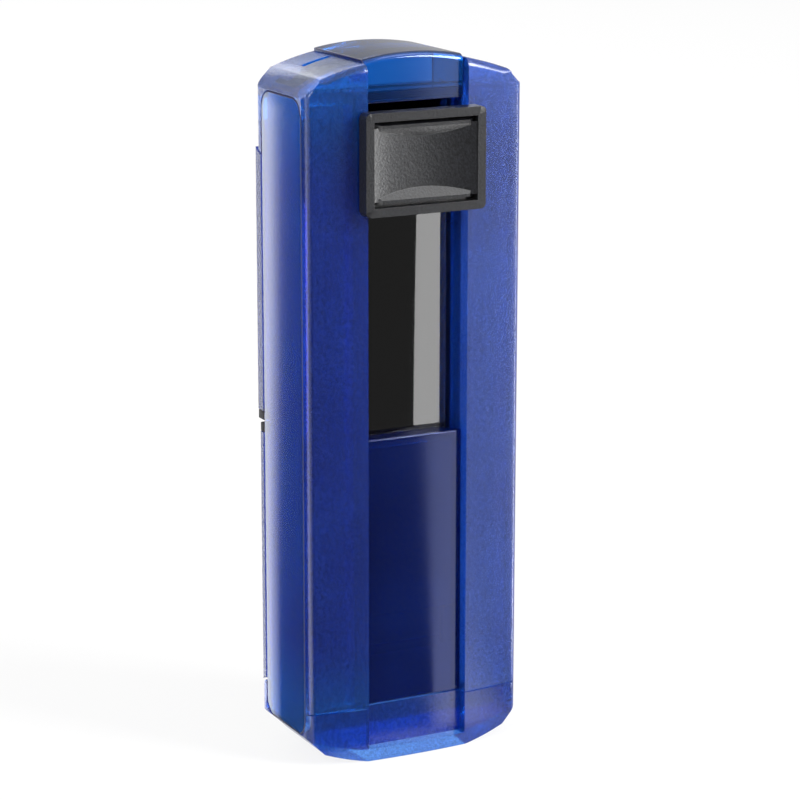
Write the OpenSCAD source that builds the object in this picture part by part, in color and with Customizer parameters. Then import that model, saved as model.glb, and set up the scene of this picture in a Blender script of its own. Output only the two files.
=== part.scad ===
// Pocket self-inking stamp, closed, standing on its end cap.
// Frame: +Z along the case, -Y is the front with the slider, origin at the bottom centre.

/* [Case] */
// Length of the closed case
case_l = 90; // [80:1:100]
// Width of the case
case_w = 30; // [29:0.5:36]
// Depth of the case, front to back
case_t = 15.5; // [15.5:0.1:18.6]
// Thickness of the shell walls
wall = 1.6; // [1.3:0.1:1.8]
// Crown of the front face over its width
front_crown = 1.2; // [0.8:0.1:1.5]
// Rise of the domed ends over the case width
end_sag = 3.2; // [2.6:0.1:3.6]
// Radius of the case's upright edges
edge_r = 1.2; // [0.8:0.1:1.6]
// Cut across the corners of the front outline
corner_cut = 1.3; // [0.8:0.1:1.6]
// Half width of the flat that the case stands on
foot_half = 7; // [5:0.5:9]
// Height of the bottom cap
cap_h = 7; // [5.6:0.1:8.4]

/* [Front channel] */
// Half width of the channel down the front
channel_half = 6.9; // [6.5:0.1:7.2]
// Depth of the glossy strip under the case front
strip_depth = 1.6; // [1.3:0.1:1.9]
// Thickness of the glossy strip and panel
strip_t = 1.2; // [1:0.1:1.4]
// Height of the top strip over the shells
top_step = 0.4; // [0.3:0.05:0.6]
// Depth of the window lens under the case front
lens_depth = 3.9; // [3.7:0.05:4]
// Thickness of the window lens
lens_t = 0.6; // [0.5:0.05:0.65]
// Thickness of the index card
card_t = 0.3; // [0.2:0.05:0.35]
// Height of the window's lower edge
window_z = 41.8; // [36:0.5:48]
// Width of the slot on each side of the window
slot_w = 1.1; // [0.9:0.05:1.3]

/* [Slider] */
// Width of the slider button
slider_w = 16.4; // [15:0.2:19]
// Height of the slider button
slider_h = 12.7; // [11:0.1:13]
// From the slider's lower edge up to the case's top
slider_inset = 19.4; // [19.1:0.1:20]
// Height of the slider over the case front
slider_proud = 1.9; // [1.5:0.1:2.4]
// Travel of the slider from locked to released
slider_travel = 10; // [9:0.5:10]

/* [Stamp] */
// Length of the printing plate
print_l = 47; // [40:1:48]
// Width of the printing plate
print_w = 18; // [15:0.5:18]
// Distance from the turning axis to the printing face
face_r = 3.1; // [2.9:0.05:3.2]
// Radius of the pins the stamp turns on
axle_r = 0.8; // [0.7:0.05:0.9]

/* [Wings] */
// Thickness of the upper wing
wing_t = 2.8; // [2.6:0.05:3]
// Step of the lower wing under the upper one
wing_step = 0.6; // [0.4:0.1:0.8]
// Width of each wing prong
prong_w = 2.8; // [2.4:0.1:2.8]
// Length of the web that joins the prongs
web_l = 8; // [7:0.5:8.5]
// Distance of each hinge axis from its end of the case
hinge_inset = 4.2; // [4:0.1:4.4]
// Extra distance of the upper hinge axis from the top
hinge_drop = 5; // [4.8:0.1:6]
// Radius of the hinge pins
pin_r = 1; // [0.8:0.05:1.1]
// Thickness of the rubber feet
foot_t = 1.2; // [1:0.1:1.5]
// Height of the joint between the two wings
joint_z = 42.5; // [41:0.5:44]

/* [Fits] */
// Running clearance round pins
run_gap = 0.05; // [0.03:0.01:0.08]
// Gap beside parts that move
move_gap = 0.3; // [0.25:0.05:0.4]
// Gap of parts that are clipped together
clip_gap = 0.1; // [0.05:0.05:0.15]

/* [Hidden] */
$fn = 48;
fine = 240;
eps = 1;
half_w = case_w / 2;
// The case's middle plane lies on the origin, with the slider in the total depth
y_shift = -(case_t - slider_proud) / 2;
crown_r = (half_w * half_w + front_crown * front_crown) / (2 * front_crown);
dome_r = (half_w * half_w + end_sag * end_sag) / (2 * end_sag);
foot_drop = dome_r - sqrt(dome_r * dome_r - foot_half * foot_half);
// Planes inside the case, counted from the case front
inner_half = half_w - wall;
front_inner = wall + front_crown + 0.1;
flange_t = 1.2;
floor_t = 1;
card_back = lens_depth + lens_t + card_t;
bar_y = card_back + 0.2;
bar_t = 0.8;
tray_y = bar_y + bar_t + move_gap;
tray_back_t = 0.8;
pad_t = 1.5;
pad_face = tray_y + tray_back_t + pad_t;
axis_y = pad_face + 0.1 + face_r;
hinge_y = case_t - wing_t;
rear_y = hinge_y - move_gap;
top_inner = case_l - top_step - end_sag - wall + 0.6;
hinge_lo = hinge_inset;
hinge_up = case_l - hinge_inset - hinge_drop;
slider_z = case_l - slider_inset;
strip_z = slider_z + slider_h + 0.7;
lens_half = channel_half - slot_w;
// The side panels
panel_t = 0.8;
panel_y0 = 2.1;
panel_y1 = case_t - 1.8;
panel_z0 = 3.7;
panel_z1 = case_l - 5;
panel_r = 2.4;
// The chassis
chassis_z0 = dome_r - foot_drop - sqrt(pow(dome_r - floor_t, 2) - pow(inner_half, 2)) + 0.05;
rail_half = inner_half - clip_gap;
rail_t = 1.1;
block_y0 = tray_y;
block_y1 = hinge_y - wing_t - 0.4;
ear_x0 = 10;
ear_x1 = 11.8;
ear_r = 1.65;
// The stamp and its carrier
die_z = (hinge_lo + hinge_up) / 2;
die_half_l = print_l / 2 + 1.3;
die_half_w = print_w / 2;
ring_half = half_w - prong_w - move_gap;
ring_t = 1.7;
ring_y0 = pad_face + move_gap - 0.1;
ring_y1 = case_t - wing_step;
block_z0 = die_half_l + 0.4;
block_l = 4.8;
plate_t = 0.9;
relief_t = 0.35;
cushion_t = 0.6;
holder_back = 1.3;
// The wings
wing_gap = 0.4;
lug_half = 1.5;
lug_len = 7.6;
lug_t = 2.4;
knuckle_r = 1.9;
notch_r = ear_r + move_gap + 0.1;
cheek_r = 4;

// ---------- shapes shared by the pieces ----------

// Puts a piece built from the case front (y = 0) into the part's frame
module placed() {
    translate([0, y_shift, 0]) children();
}

// Box from one corner to the other
module box(a, b) {
    translate(a) cube(b - a);
}

// The same box on both sides of the middle plane
module both(a, b) {
    box(a, b);
    mirror([1, 0, 0]) box(a, b);
}

// Rod along X from x0 to x1
module rod_x(x0, x1, y, z, r) {
    translate([x0, y, z]) rotate([0, 90, 0]) cylinder(r = r, h = x1 - x0);
}

// Section of the case across its length, with rounded upright edges
module case_plan() {
    side_drop = crown_r - sqrt(crown_r * crown_r - (half_w - edge_r) * (half_w - edge_r));
    translate([-half_w + edge_r, -eps]) square([case_w - 2 * edge_r, case_t + eps]);
    translate([-half_w, side_drop + edge_r]) square([case_w, case_t - side_drop - 2 * edge_r]);
    for (side = [-1, 1], y = [side_drop + edge_r, case_t - edge_r])
        translate([side * (half_w - edge_r), y]) circle(r = edge_r);
}

// Outline of the case seen from the front: past the sides, with cut corners
module case_outline(top) {
    low = end_sag - foot_drop + corner_cut + eps;
    high = top - end_sag - corner_cut - eps;
    x = half_w + eps;
    // the cuts run at 45 degrees past the ends
    up = x - (top + eps - high);
    down = x - (low + eps);
    polygon([[x, low], [x, high], [up, top + eps], [-up, top + eps],
             [-x, high], [-x, low], [-down, -eps], [down, -eps]]);
}

// Dome across the case at the top, extended straight down
module top_dome(top) {
    translate([0, -eps, top - dome_r]) rotate([-90, 0, 0])
        cylinder(r = dome_r, h = case_t + 2 * eps, $fn = fine);
    box([-half_w - eps, -eps, -eps], [half_w + eps, case_t + eps, top - dome_r]);
}

// Dome across the case at the bottom, extended straight up
module bottom_dome() {
    translate([0, -eps, dome_r - foot_drop]) rotate([-90, 0, 0])
        cylinder(r = dome_r, h = case_t + 2 * eps, $fn = fine);
    box([-half_w - eps, -eps, dome_r - foot_drop], [half_w + eps, case_t + eps, case_l + 2 * eps]);
}

// The whole case as one block, which each outer piece takes its surface from
module case_block(top) {
    intersection() {
        linear_extrude(top + eps) case_plan();
        translate([0, crown_r, -eps]) cylinder(r = crown_r, h = case_l + 2 * eps, $fn = fine);
        translate([0, case_t + eps, 0]) rotate([90, 0, 0])
            linear_extrude(case_t + 2 * eps) case_outline(top);
        top_dome(top);
        bottom_dome();
    }
}

// Outline of a side panel, extruded through the side wall
module panel_form(grow) {
    r = panel_r + grow;
    y0 = panel_y0 - grow;
    y1 = panel_y1 + grow;
    z0 = panel_z0 - grow;
    z1 = panel_z1 + grow;
    translate([half_w - panel_t - grow, 0, 0]) rotate([90, 0, 90])
        linear_extrude(panel_t + 2 * eps) {
            translate([y0 + r, z0]) square([y1 - y0 - 2 * r, z1 - z0]);
            translate([y0, z0 + r]) square([y1 - y0, z1 - z0 - 2 * r]);
            for (y = [y0 + r, y1 - r], z = [z0 + r, z1 - r])
                translate([y, z]) circle(r = r);
        }
}

// Coil of round wire along Z, from z = 0 up
module coil(mean_r, wire_r, pitch, turns) {
    steps = 12;
    sides = 6;
    count = steps * turns;
    points = [for (i = [0:count], j = [0:sides - 1])
        let (a = 360 * i / steps, b = 360 * j / sides, r = mean_r + wire_r * cos(b))
        [r * cos(a), r * sin(a), pitch * i / steps + wire_r * (1 + sin(b))]];
    skin = [for (i = [0:count - 1], j = [0:sides - 1])
        let (k = (j + 1) % sides)
        [i * sides + j, i * sides + k, (i + 1) * sides + k, (i + 1) * sides + j]];
    start = [[for (j = [sides - 1:-1:0]) j]];
    end = [[for (j = [0:sides - 1]) count * sides + j]];
    polyhedron(points, concat(skin, start, end));
}

// ---------- case ----------

// Round cheek that covers the end of a hinge from the side
module cheek(z) {
    rod_x(half_w - panel_t, half_w + 2 * eps, hinge_y, z, cheek_r);
}

// Shell of the right half; the left one is its mirror image
module shell_form() {
    difference() {
        intersection() {
            case_block(case_l - top_step);
            box([channel_half, -eps, cap_h], [half_w + eps, case_t + eps, case_l]);
        }
        // room between the front wall, its inner flange and the side wall
        box([channel_half + flange_t, front_inner, 0], [inner_half, case_t, top_inner - wing_t / 2]);
        box([0, card_back, 0], [inner_half, rear_y, top_inner]);
        // opening for the wings, past the round cheek beside the hinge
        difference() {
            box([0, rear_y, 0], [half_w + eps, case_t + eps, hinge_up + wing_t + move_gap]);
            cheek(hinge_up);
        }
        panel_form(clip_gap / 2);
        // groove round the cap joint
        box([0, -eps, cap_h - eps], [half_w + eps, front_crown + 0.4, cap_h + 0.15]);
    }
}

module left_shell() {
    // the left shell has a narrow slot in its top, beside the strip
    color([0.16, 0.26, 0.62, 0.8]) placed() difference() {
        mirror([1, 0, 0]) shell_form();
        box([-channel_half - 4.1, 9.6, top_inner + 0.6], [-channel_half - 0.4, 10.6, case_l]);
    }
}

module right_shell() {
    color([0.2, 0.32, 0.68, 0.8]) placed() shell_form();
}

module side_panel_form() {
    intersection() {
        case_block(case_l - top_step);
        panel_form(0);
    }
}

module left_side_panel() {
    color([0.45, 0.6, 0.9, 0.8]) placed() mirror([1, 0, 0]) side_panel_form();
}

module right_side_panel() {
    color([0.45, 0.6, 0.9, 0.8]) placed() side_panel_form();
}

module front_panel() {
    x = channel_half - clip_gap / 2;
    color([0.1, 0.3, 0.7, 0.8]) placed() {
        box([-x, strip_depth, cap_h + 0.1], [x, strip_depth + strip_t, window_z]);
        // ledge under the window
        box([-lens_half, strip_depth + strip_t, window_z - 1.2], [lens_half, card_back, window_z]);
    }
}

module top_strip() {
    x = channel_half - clip_gap / 2;
    color([0.15, 0.45, 0.85, 0.8]) placed() difference() {
        intersection() {
            case_block(case_l);
            box([-x, strip_depth, strip_z], [x, case_t + eps, case_l + eps]);
        }
        box([-x - eps, card_back, strip_z - eps], [x + eps, rear_y, top_inner]);
        box([-x - eps, strip_depth + strip_t, strip_z + 1.2], [x + eps, card_back + eps, top_inner]);
    }
}

module window_lens() {
    color([0.85, 0.9, 0.95, 0.4]) placed()
        box([-lens_half, lens_depth, window_z], [lens_half, lens_depth + lens_t, strip_z]);
}

module index_card() {
    color([0.08, 0.08, 0.12]) placed()
        box([-lens_half, lens_depth + lens_t, window_z], [lens_half, card_back, strip_z]);
}

module bottom_cap() {
    color([0.14, 0.28, 0.66, 0.8]) placed() difference() {
        intersection() {
            case_block(case_l);
            union() {
                box([-half_w - eps, -eps, 0], [half_w + eps, case_t + eps, cap_h]);
                both([half_w - panel_t, rear_y, cap_h / 2], [half_w + eps, case_t + eps, hinge_lo + cheek_r]);
            }
        }
        // inside, over a floor that follows the dome
        intersection() {
            box([-inner_half, front_inner, floor_t], [inner_half, rear_y, cap_h + eps]);
            translate([0, -eps, dome_r - foot_drop]) rotate([-90, 0, 0])
                cylinder(r = dome_r - floor_t, h = case_t + 2 * eps, $fn = fine);
        }
        difference() {
            box([-half_w - eps, rear_y, floor_t], [half_w + eps, case_t + eps, 2 * cap_h]);
            cheek(hinge_lo);
            mirror([1, 0, 0]) cheek(hinge_lo);
        }
        // glossy channel, as deep as the panel above it
        box([-channel_half, -eps, 1.6], [channel_half, strip_depth, cap_h + eps]);
        panel_form(clip_gap / 2);
        mirror([1, 0, 0]) panel_form(clip_gap / 2);
    }
}

// Ear of the chassis that holds one end of a hinge pin
module ear(z) {
    rod_x(ear_x0, ear_x1, hinge_y, z, ear_r);
    box([ear_x0, block_y0 + eps, z - ear_r], [ear_x1, hinge_y, z + ear_r]);
}

module chassis() {
    low_top = die_z - block_z0 - block_l - move_gap;
    up_low = die_z + block_z0 + block_l + move_gap;
    color([0.1, 0.12, 0.22]) placed() difference() {
        union() {
            // rails beside the carrier
            both([rail_half - rail_t, tray_y, chassis_z0], [rail_half, rear_y, top_inner]);
            // end blocks
            box([-rail_half, block_y0, chassis_z0], [rail_half, block_y1, low_top]);
            box([-rail_half, block_y0, up_low], [rail_half, block_y1, top_inner]);
            // arms that carry the pad tray
            for (side = [-1, 1], z = [low_top - eps, up_low - 5])
                box([side * 8 - 1.5, block_y0, z], [side * 8 + 1.5, block_y0 + 1, z + 6]);
            for (z = [hinge_lo, hinge_up]) {
                ear(z);
                mirror([1, 0, 0]) ear(z);
            }
        }
        for (z = [hinge_lo, hinge_up])
            rod_x(-half_w, half_w, hinge_y, z, pin_r);
        // way of the release lug
        box([-lug_half - 0.4, -eps, up_low - eps], [lug_half + 0.4, case_t, hinge_up + 2]);
    }
}

module pad_tray() {
    tray_half_w = die_half_w + 1;
    tray_half_l = print_l / 2 + 1.7;
    color([0.12, 0.12, 0.14]) placed() difference() {
        box([-tray_half_w, tray_y, die_z - tray_half_l], [tray_half_w, pad_face - 0.3, die_z + tray_half_l]);
        box([-tray_half_w + 0.8, tray_y + tray_back_t, die_z - tray_half_l + 0.8],
            [tray_half_w - 0.8, case_t, die_z + tray_half_l - 0.8]);
    }
}

module ink_pad() {
    pad_half_w = die_half_w + 0.2;
    pad_half_l = print_l / 2 + 0.9;
    color([0.08, 0.08, 0.3]) placed()
        box([-pad_half_w, tray_y + tray_back_t, die_z - pad_half_l], [pad_half_w, pad_face, die_z + pad_half_l]);
}

module hinge_pin(z) {
    color([0.75, 0.76, 0.78]) placed() rod_x(-ear_x1, ear_x1, hinge_y, z, pin_r);
}

module upper_hinge_pin() hinge_pin(hinge_up);

module lower_hinge_pin() hinge_pin(hinge_lo);

// Pair of torsion springs on one hinge pin, each with a leg on the chassis block
module wing_springs(z, up) {
    wire_r = 0.25;
    mean_r = pin_r + wire_r + 0.15;
    pitch = 2 * wire_r + 0.12;
    turns = 5;
    color([0.7, 0.71, 0.74]) placed() for (side = [-1, 1])
        translate([side > 0 ? 3.3 : -3.3, hinge_y, z]) rotate([0, side * 90, 0]) {
            coil(mean_r, wire_r, pitch, turns);
            translate([side * up * mean_r, 0, wire_r])
                rotate([90, 0, 0]) cylinder(r = wire_r, h = hinge_y - block_y1, $fn = 16);
        }
}

module upper_wing_springs() wing_springs(hinge_up, 1);

module lower_wing_springs() wing_springs(hinge_lo, -1);

// ---------- slider ----------

// Finger ridge across the slider, steep on its outer side, with slanted ends
module ridge(length) {
    base = -0.2;
    top = -slider_proud + 0.1;
    intersection() {
        translate([-length / 2, 0, 0]) rotate([90, 0, 90]) linear_extrude(length)
            polygon([[base, -base - top], [top, 0.15], [top, -0.25], [base, -0.55]]);
        translate([0, 0, -slider_h / 2]) linear_extrude(slider_h)
            polygon([[-length / 2, base], [-length / 2, -0.7], [-length / 2 - top - 0.7, top],
                     [length / 2 + top + 0.7, top], [length / 2, -0.7], [length / 2, base]]);
    }
}

module slider_button() {
    z1 = slider_z + slider_h;
    zc = slider_z + slider_h / 2;
    half = slider_w / 2;
    rim = 1.1;
    r = 0.7;
    floor_y = -0.4;
    ridge_z = slider_h / 2 - rim - 0.75;
    scoop_low = -slider_proud + 1.15;
    scoop_r = 25;
    arm_z = 4.6;
    color([0.05, 0.05, 0.06]) placed() {
        difference() {
            translate([0, 0.05, 0]) rotate([90, 0, 0]) linear_extrude(slider_proud + 0.05) {
                translate([-half + r, slider_z]) square([slider_w - 2 * r, slider_h]);
                translate([-half, slider_z + r]) square([slider_w, slider_h - 2 * r]);
                for (x = [-half + r, half - r], z = [slider_z + r, z1 - r])
                    translate([x, z]) circle(r = r);
            }
            box([-half + rim, -slider_proud - eps, slider_z + rim], [half - rim, floor_y, z1 - rim]);
        }
        // thumb scoop, hollow from side to side
        difference() {
            box([-half + rim - 0.1, -slider_proud + 0.12, zc - ridge_z], [half - rim + 0.1, -0.1, zc + ridge_z]);
            translate([0, scoop_low - scoop_r, zc - slider_h])
                cylinder(r = scoop_r, h = 2 * slider_h, $fn = fine);
        }
        translate([0, 0, zc - ridge_z]) ridge(slider_w - 2 * rim + 0.02);
        translate([0, 0, zc + ridge_z]) mirror([0, 0, 1]) ridge(slider_w - 2 * rim + 0.02);
        // arms through the window slots
        both([lens_half + 0.1, -0.1, zc - arm_z], [channel_half - 0.15, bar_y, zc + arm_z]);
    }
}

module lock_bar() {
    top_z = hinge_up - lug_t / 2 - 0.6;
    hook_x = channel_half + 0.7;
    color([0.07, 0.07, 0.08]) placed() {
        box([-hook_x, bar_y, top_z - 8], [hook_x, bar_y + bar_t, top_z]);
        // catch under the lug of the upper wing
        box([-lug_half + 0.2, bar_y + bar_t, top_z - 0.8], [lug_half - 0.2, bar_y + bar_t + 0.4, top_z]);
    }
}

// ---------- wings ----------

// One wing, drawn for the upper hinge at the origin, its arm along -Z
module wing_form(thick, arm) {
    skin_y = panel_y1 + 0.2 - hinge_y;
    nose_half = ear_x0 - 0.3;
    difference() {
        union() {
            // web and prongs
            box([-half_w + 0.02, 0, -web_l], [half_w - 0.02, thick, 0]);
            both([half_w - prong_w, 0, -arm], [half_w - 0.02, thick, -web_l + eps / 2]);
            // rounded nose round the pin
            intersection() {
                rod_x(-nose_half, nose_half, 0, 0, thick);
                box([-nose_half, 0, 0], [nose_half, thick, thick]);
            }
            for (x = [-9.6, -2.8, 7.6])
                rod_x(x, x + (x == -2.8 ? 5.6 : 2), 0, 0, knuckle_r);
        }
        rod_x(-half_w, half_w, 0, 0, pin_r + run_gap);
        // room for the ears, the springs and the rails of the chassis
        for (side = [-1, 1]) {
            rod_x(side > 0 ? ear_x0 - 0.3 : -ring_half - 0.3, side > 0 ? ring_half + 0.3 : -ear_x0 + 0.3,
                  0, 0, notch_r);
            rod_x(side > 0 ? 2.8 : -7.6, side > 0 ? 7.6 : -2.8, 0, 0, notch_r);
        }
        // relief beside the side panels
        both([half_w - panel_t - 0.2, -eps, -arm - eps], [half_w + eps, skin_y, eps]);
        for (side = [-1, 1])
            rod_x(side > 0 ? half_w - panel_t - 0.2 : -half_w - eps, side > 0 ? half_w + eps : -half_w + panel_t + 0.2,
                  0, 0, cheek_r + move_gap);
    }
}

// Rubber feet on the ends of the prongs
module feet_form(thick, arm) {
    skin_y = panel_y1 + 0.2 - hinge_y;
    for (side = [-1, 1])
        difference() {
            box([side > 0 ? half_w - prong_w : -half_w + 0.02, 0, -arm - foot_t],
                [side > 0 ? half_w - 0.02 : -half_w + prong_w, thick, -arm]);
            both([half_w - panel_t - 0.2, -eps, -arm - 2 * foot_t], [half_w + eps, skin_y, eps]);
        }
}

module upper_place() {
    placed() translate([0, hinge_y, hinge_up]) children();
}

module lower_place() {
    placed() translate([0, hinge_y, hinge_lo]) mirror([0, 0, 1]) children();
}

upper_arm = hinge_up - joint_z - wing_gap / 2 - foot_t;
lower_arm = joint_z - hinge_lo - wing_gap / 2 - foot_t;

module upper_wing() {
    color([0.18, 0.3, 0.66, 0.8]) upper_place() {
        wing_form(wing_t, upper_arm);
        // release lug toward the lock bar
        difference() {
            box([-lug_half, -lug_len, -lug_t / 2], [lug_half, 0, lug_t / 2]);
            rod_x(-half_w, half_w, 0, 0, pin_r + run_gap);
        }
    }
}

module upper_wing_feet() {
    color([0.06, 0.06, 0.07]) upper_place() feet_form(wing_t, upper_arm);
}

module lower_wing() {
    color([0.18, 0.3, 0.66, 0.8]) lower_place() wing_form(wing_t - wing_step, lower_arm);
}

module lower_wing_feet() {
    color([0.06, 0.06, 0.07]) lower_place() feet_form(wing_t - wing_step, lower_arm);
}

// ---------- carrier and stamp ----------

// Centres the stamp's parts on its turning axis
module die_place() {
    placed() translate([0, axis_y, die_z]) children();
}

module carrier_frame() {
    y0 = ring_y0 - axis_y;
    y1 = ring_y1 - axis_y;
    end = block_z0 + block_l;
    pocket_r = 2.3;
    pocket_l = 2.6;
    color([0.09, 0.09, 0.11]) die_place() difference() {
        union() {
            both([ring_half - ring_t, y0, -end], [ring_half, y1, end]);
            box([-ring_half, y0, block_z0], [ring_half, y1, end]);
            box([-ring_half, y0, -end], [ring_half, y1, -block_z0]);
        }
        translate([0, 0, -end - eps]) cylinder(r = axle_r, h = 2 * end + 2 * eps);
        // pockets for the flip springs
        translate([0, 0, -block_z0 - pocket_l]) cylinder(r = pocket_r, h = 2 * (block_z0 + pocket_l));
    }
}

module axle_pins() {
    end = block_z0 + block_l;
    color([0.75, 0.76, 0.78]) die_place() {
        translate([0, 0, block_z0 - 4]) cylinder(r = axle_r, h = block_l + 3.5);
        translate([0, 0, -end + 0.5]) cylinder(r = axle_r, h = block_l + 3.5);
    }
}

module flip_springs() {
    wire_r = 0.2;
    color([0.7, 0.71, 0.74]) die_place() for (side = [0, 1])
        mirror([0, 0, side]) translate([0, 0, block_z0 + 0.1])
            coil(axle_r + wire_r + 0.3, wire_r, 2 * wire_r + 0.06, 4);
}

module die_holder() {
    front = -face_r + plate_t + cushion_t;
    r = 1;
    color([0.1, 0.1, 0.12]) die_place() difference() {
        translate([0, 0, -die_half_l]) linear_extrude(2 * die_half_l) {
            translate([-die_half_w, front]) square([2 * die_half_w, holder_back - front - r]);
            translate([-die_half_w + r, front]) square([2 * (die_half_w - r), holder_back - front]);
            for (x = [-die_half_w + r, die_half_w - r])
                translate([x, holder_back - r]) circle(r = r);
        }
        // bores for the axle pins
        for (z = [-die_half_l - eps, die_half_l - 3.4 - 0.6])
            translate([0, 0, z]) cylinder(r = axle_r + run_gap, h = 4 + eps);
    }
}

module die_cushion() {
    front = -face_r + plate_t;
    color([0.3, 0.3, 0.32]) die_place()
        box([-die_half_w, front, -print_l / 2], [die_half_w, front + cushion_t, print_l / 2]);
}

// Rubber plate with generic relief: a border and plain rules
module text_plate() {
    back = -face_r + plate_t;
    line_h = 1.3;
    line_pitch = 3.4;
    inset = 0.5;
    color([0.35, 0.1, 0.12]) die_place() {
        box([-die_half_w, -face_r + relief_t, -print_l / 2], [die_half_w, back, print_l / 2]);
        difference() {
            box([-die_half_w + inset, -face_r, -print_l / 2 + inset],
                [die_half_w - inset, back, print_l / 2 - inset]);
            box([-die_half_w + 2 * inset, -face_r - eps, -print_l / 2 + 2 * inset],
                [die_half_w - 2 * inset, -face_r + relief_t, print_l / 2 - 2 * inset]);
        }
        for (i = [-1.5:1:1.5], j = [0:2])
            translate([i * line_pitch, 0, 0])
                box([-line_h / 2, -face_r, (j - 1.5) * 13 + 0.8], [line_h / 2, back, (j - 0.5) * 13 - 0.8]);
    }
}

left_shell();
right_shell();
left_side_panel();
right_side_panel();
front_panel();
top_strip();
window_lens();
index_card();
bottom_cap();
chassis();
pad_tray();
ink_pad();
upper_hinge_pin();
lower_hinge_pin();
upper_wing_springs();
lower_wing_springs();
slider_button();
lock_bar();
upper_wing();
upper_wing_feet();
lower_wing();
lower_wing_feet();
carrier_frame();
axle_pins();
flip_springs();
die_holder();
die_cushion();
text_plate();
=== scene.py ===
"""Pocket self-inking stamp: finishes, soft parts, springs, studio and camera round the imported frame."""

import logging
import math
from dataclasses import dataclass
from enum import Enum
from typing import Any

import bmesh
import bpy
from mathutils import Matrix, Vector


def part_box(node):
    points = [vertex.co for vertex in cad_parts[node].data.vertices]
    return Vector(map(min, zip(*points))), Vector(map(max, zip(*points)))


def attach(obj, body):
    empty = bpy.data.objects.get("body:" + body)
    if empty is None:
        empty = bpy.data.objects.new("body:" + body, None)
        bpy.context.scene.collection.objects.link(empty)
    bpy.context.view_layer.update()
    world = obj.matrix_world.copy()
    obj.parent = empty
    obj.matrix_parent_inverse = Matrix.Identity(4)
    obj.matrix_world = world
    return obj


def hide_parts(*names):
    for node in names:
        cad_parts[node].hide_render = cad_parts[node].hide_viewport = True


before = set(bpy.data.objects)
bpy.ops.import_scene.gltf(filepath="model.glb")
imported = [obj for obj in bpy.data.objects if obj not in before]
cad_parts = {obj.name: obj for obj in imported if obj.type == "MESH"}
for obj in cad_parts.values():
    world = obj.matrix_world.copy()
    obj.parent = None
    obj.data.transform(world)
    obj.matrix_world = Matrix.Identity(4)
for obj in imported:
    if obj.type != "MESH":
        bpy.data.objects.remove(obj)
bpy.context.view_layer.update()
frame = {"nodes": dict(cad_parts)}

MM = 0.001
LOG = logging.getLogger("pocket_stamp")

# an edge that turns by more than this is rounded
SHARP_DEG = 32
# faces that turn by less than this count as one flat face
FLAT_DEG = 0.4
# points nearer than this are one point
WELD_MM = 0.002
CREST_FACES = 6
# material slot of the dark rim round a panel: painted shade standing in for the shade in the seam beside it
SEAM_SHADE_SLOT = 1

Colour = tuple[float, float, float, float]
Point = tuple[float, float, float]
# both ends of one column of a card, and its brightness
Column = tuple[Point, Point, float]


def linear(code: str) -> Colour:
    """Turn an sRGB hex colour into linear light.

    Args:
        code: Colour written as "#rrggbb".

    Returns:
        Linear red, green and blue with an alpha of 1.
    """
    channels = (int(code[i : i + 2], 16) / 255 for i in (1, 3, 5))
    lit = [c / 12.92 if c <= 0.04045 else ((c + 0.055) / 1.055) ** 2.4 for c in channels]
    return (lit[0], lit[1], lit[2], 1.0)


def per_metre(size_mm: float) -> float:
    """Texture scale whose pattern repeats every size_mm millimetres."""
    return 1 / (size_mm * MM)


def add_node(
    tree: bpy.types.NodeTree,
    kind: str,
    sockets: dict[str | int, Any] | None = None,
    links: dict[str | int, bpy.types.NodeSocket] | None = None,
    **settings: Any,
) -> bpy.types.Node:
    """Add one shader node with its settings, values and incoming links.

    Args:
        tree: Node tree that takes the node.
        kind: Blender's node type.
        sockets: Input values by socket name or index.
        links: Outputs of other nodes by the input they feed.
        **settings: Properties of the node itself.

    Returns:
        The new node.
    """
    node = tree.nodes.new(kind)
    for name, value in settings.items():
        setattr(node, name, value)
    for name, value in (sockets or {}).items():
        node.inputs[name].default_value = value
    for name, output in (links or {}).items():
        tree.links.new(output, node.inputs[name])
    return node


# ---------- finishes ----------


class Surface(Enum):
    """How the mould that a tinted part came from was finished."""

    FROSTED = "frosted"
    POLISHED = "polished"


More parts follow.
